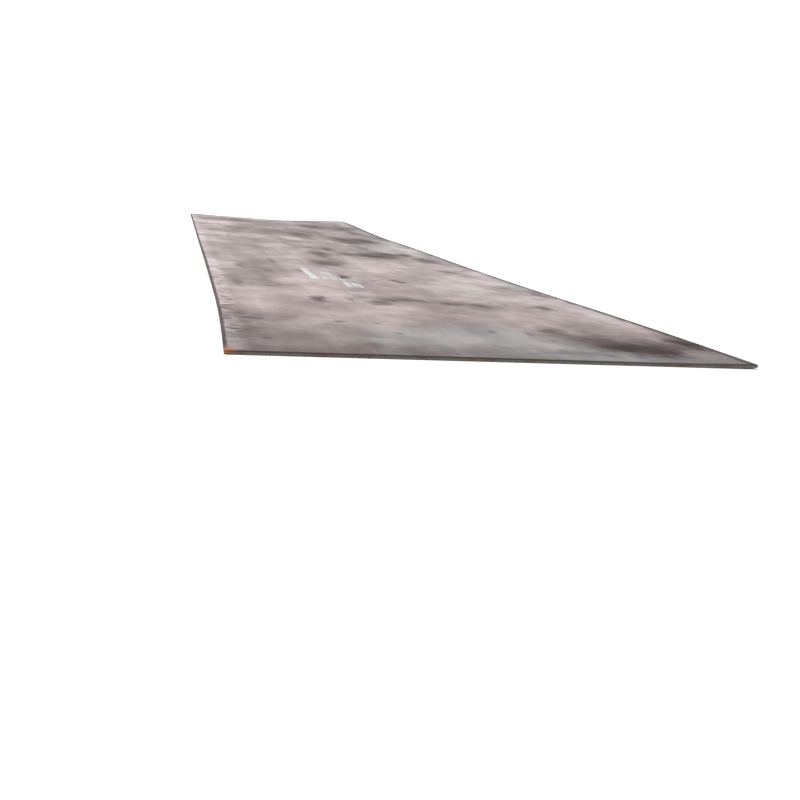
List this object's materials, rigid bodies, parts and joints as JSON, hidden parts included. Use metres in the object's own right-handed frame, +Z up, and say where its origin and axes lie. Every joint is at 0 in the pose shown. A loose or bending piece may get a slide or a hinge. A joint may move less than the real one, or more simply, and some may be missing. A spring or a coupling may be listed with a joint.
{
  "type": "steel plate",
  "caption": "Long flat hot-rolled steel plate with mill scale, rounded rolled sides, sheared ends, low edge waves and a bent-up corner, for cutting or welding into other work.",
  "frame": {"origin": "on the underside, below the middle of the outline's box", "axes": "+Y along the plate in the rolling direction, towards the end with the bent corner; +X across it, towards the straight side; +Z up, out of the top face"},
  "size_m": [2.025, 8.0014, 0.064],
  "materials": {
    "mill_scale_steel": "hot-rolled mill scale, satin grey-brown with darker handling marks"
  },
  "bodies": {
    "root": {"steel_plate": "mill_scale_steel"}
  },
  "joints": []
}
